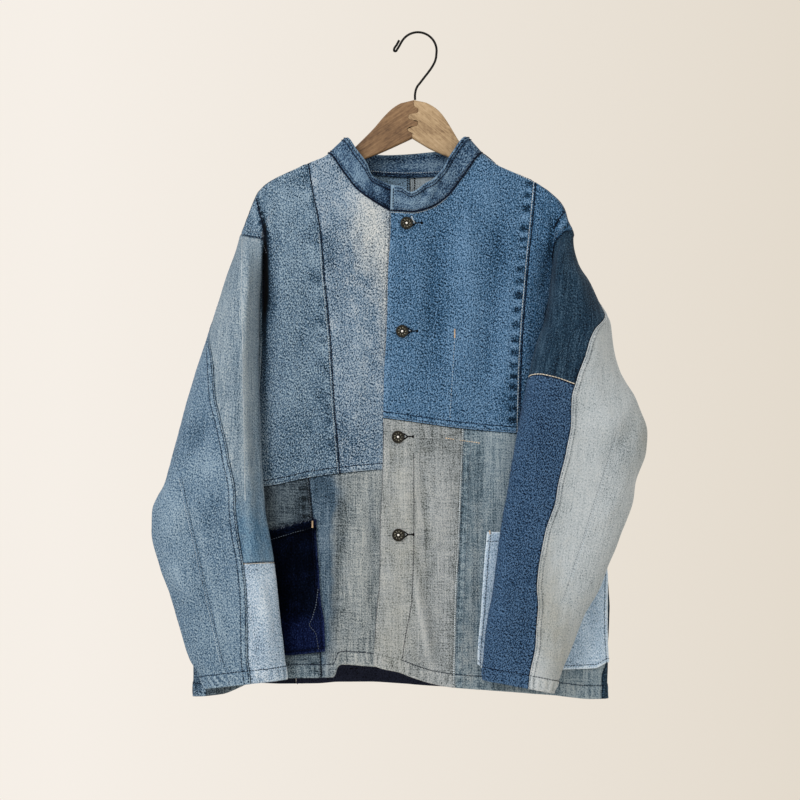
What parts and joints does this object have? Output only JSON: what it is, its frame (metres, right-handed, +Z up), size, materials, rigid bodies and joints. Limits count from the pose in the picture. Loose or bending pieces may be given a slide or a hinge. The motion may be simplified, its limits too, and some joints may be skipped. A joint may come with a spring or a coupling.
{
  "type": "patched denim jacket on a wooden hanger",
  "caption": "Band-collared boro jacket pieced from worn denim, with patch pockets and metal buttons, hanging on a wooden hanger with a wire hook.",
  "frame": {"origin": "under the crown of the hanger's hook, where a rail or nail carries it", "axes": "+X to the wearer's left, -Y to the jacket's front, +Z up"},
  "size_m": [0.626, 0.1156, 0.8553],
  "materials": {
    "right_front_upper_side": "washed twill denim",
    "right_front_upper_centre": "washed twill denim",
    "right_front_lower_side": "washed twill denim",
    "right_front_lower_centre": "washed twill denim",
    "left_front_upper_centre": "washed twill denim",
    "left_front_upper_side": "washed twill denim",
    "left_front_lower_centre": "washed twill denim",
    "left_front_lower_side": "washed twill denim",
    "right_pocket": "washed twill denim",
    "left_pocket": "washed twill denim",
    "back_upper_left": "washed twill denim",
    "back_upper_right": "washed twill denim",
    "back_lower_left": "washed twill denim",
    "back_lower_middle": "washed twill denim",
    "back_lower_right": "washed twill denim",
    "right_sleeve_front_upper": "washed twill denim",
    "right_sleeve_front_lower": "washed twill denim",
    "right_sleeve_outer": "washed twill denim",
    "left_sleeve_front_upper": "washed twill denim",
    "left_sleeve_front_lower": "washed twill denim",
    "left_sleeve_outer": "washed twill denim",
    "collar_band": "washed twill denim",
    "hanger_arm_right": "oiled, darker",
    "hanger_arm_left": "oiled, lighter",
    "hanger_hook": "black wire",
    "button_1": "antiqued dark",
    "button_2": "antiqued dark",
    "button_3": "antiqued dark",
    "button_4": "antiqued dark"
  },
  "bodies": {
    "root": {"right_front_upper_side": "right_front_upper_side", "right_front_upper_centre": "right_front_upper_centre", "right_front_lower_side": "right_front_lower_side", "right_front_lower_centre": "right_front_lower_centre", "left_front_upper_centre": "left_front_upper_centre", "left_front_upper_side": "left_front_upper_side", "left_front_lower_centre": "left_front_lower_centre", "left_front_lower_side": "left_front_lower_side", "right_pocket": "right_pocket", "left_pocket": "left_pocket", "back_upper_left": "back_upper_left", "back_upper_right": "back_upper_right", "back_lower_left": "back_lower_left", "back_lower_middle": "back_lower_middle", "back_lower_right": "back_lower_right", "right_sleeve_front_upper": "right_sleeve_front_upper", "right_sleeve_front_lower": "right_sleeve_front_lower", "right_sleeve_outer": "right_sleeve_outer", "left_sleeve_front_upper": "left_sleeve_front_upper", "left_sleeve_front_lower": "left_sleeve_front_lower", "left_sleeve_outer": "left_sleeve_outer", "collar_band": "collar_band", "hanger_arm_right": "hanger_arm_right", "hanger_arm_left": "hanger_arm_left", "hanger_hook": "hanger_hook", "button_1": "button_1", "button_2": "button_2", "button_3": "button_3", "button_4": "button_4"}
  },
  "joints": []
}
